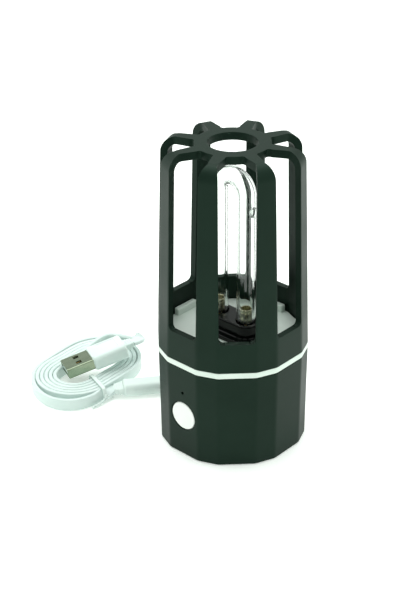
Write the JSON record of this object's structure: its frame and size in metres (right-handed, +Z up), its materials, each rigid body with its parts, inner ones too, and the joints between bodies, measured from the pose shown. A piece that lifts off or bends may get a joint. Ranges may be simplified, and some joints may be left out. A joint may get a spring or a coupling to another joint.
{
  "type": "rechargeable ultraviolet lamp",
  "caption": "Free-standing cylindrical ultraviolet lamp: faceted black base with push button, slotted cage with ring top over a bent quartz tube, and a loose coiled flat charging lead.",
  "frame": {"origin": "centre of the lamp footprint, on the surface it stands on", "axes": "+Z up, -Y out through the push button, +Y out through the charging port, +X to the right seen from the button"},
  "size_m": [0.1195, 0.071, 0.123],
  "materials": {
    "black_plastic": "fine moulded texture, satin black",
    "white_plastic": "smooth white",
    "pale_deck": "smooth off-white",
    "lamp_glass": "clear fused quartz",
    "plated_steel": "nickel plated",
    "electrode_nickel": "dull nickel",
    "gold_pin": "plated",
    "board_green": "solder mask",
    "black_resin": "moulded resin",
    "ferrite_grey": "sintered",
    "yellow_tape": "polyester film",
    "cell_wrap": "shrink film",
    "grey_foam": "closed-cell foam",
    "grey_rubber": "moulded rubber",
    "wire_red": "insulation",
    "wire_black": "insulation",
    "wire_white": "insulation",
    "clear_resin": "clear",
    "lead_jacket": "soft white jacket"
  },
  "bodies": {
    "lamp": {"base_shell": "black_plastic", "lamp_holder": "black_plastic", "cage": "black_plastic", "deck": "pale_deck", "quartz_tube": "lamp_glass", "deck_screw_1": "plated_steel", "deck_screw_2": "plated_steel", "deck_screw_3": "plated_steel", "deck_screw_4": "plated_steel", "board_screw_1": "plated_steel", "board_screw_2": "plated_steel", "holder_screw_1": "plated_steel", "holder_screw_2": "plated_steel", "usb_socket": "plated_steel", "electrode_cup_left": "electrode_nickel", "electrode_cup_right": "electrode_nickel", "electrode_pin_left": "gold_pin", "electrode_pin_right": "gold_pin", "main_board": "board_green", "tact_switch": "black_resin", "controller_chip": "black_resin", "filter_capacitor": "black_resin", "transformer_core": "ferrite_grey", "transformer_winding": "yellow_tape", "film_capacitor": "yellow_tape", "battery_cell": "cell_wrap", "cell_pad": "grey_foam", "rubber_foot_1": "grey_rubber", "rubber_foot_2": "grey_rubber", "rubber_foot_3": "grey_rubber", "rubber_foot_4": "grey_rubber", "cell_wire_red": "wire_red", "cell_wire_black": "wire_black", "lamp_wire_left": "wire_white", "lamp_wire_right": "wire_white", "light_pipe": "clear_resin", "indicator_led": "white_plastic"},
    "button": {"button_cap": "white_plastic", "switch_plunger": "black_resin"},
    "lead": {"usb_lead_coil": "lead_jacket", "usb_lead_run": "lead_jacket", "usb_lead_tail": "lead_jacket", "usb_a_shell": "plated_steel", "usb_a_tongue": "white_plastic", "usb_a_housing": "white_plastic", "usb_a_relief": "white_plastic", "device_plug_relief": "white_plastic", "device_plug_housing": "white_plastic", "device_plug_shell": "plated_steel", "twist_tie": "white_plastic"}
  },
  "joints": [
    {"name": "button_press", "type": "slide", "parent": "lamp", "child": "button", "axis": [0, 1, 0], "range_m": [0, 0.0004], "stiffness_N_per_m": 1500},
    {"name": "lead_lift", "type": "slide", "parent": "lamp", "child": "lead", "axis": [0, 0, 1], "range_m": [0, 0.15]}
  ]
}
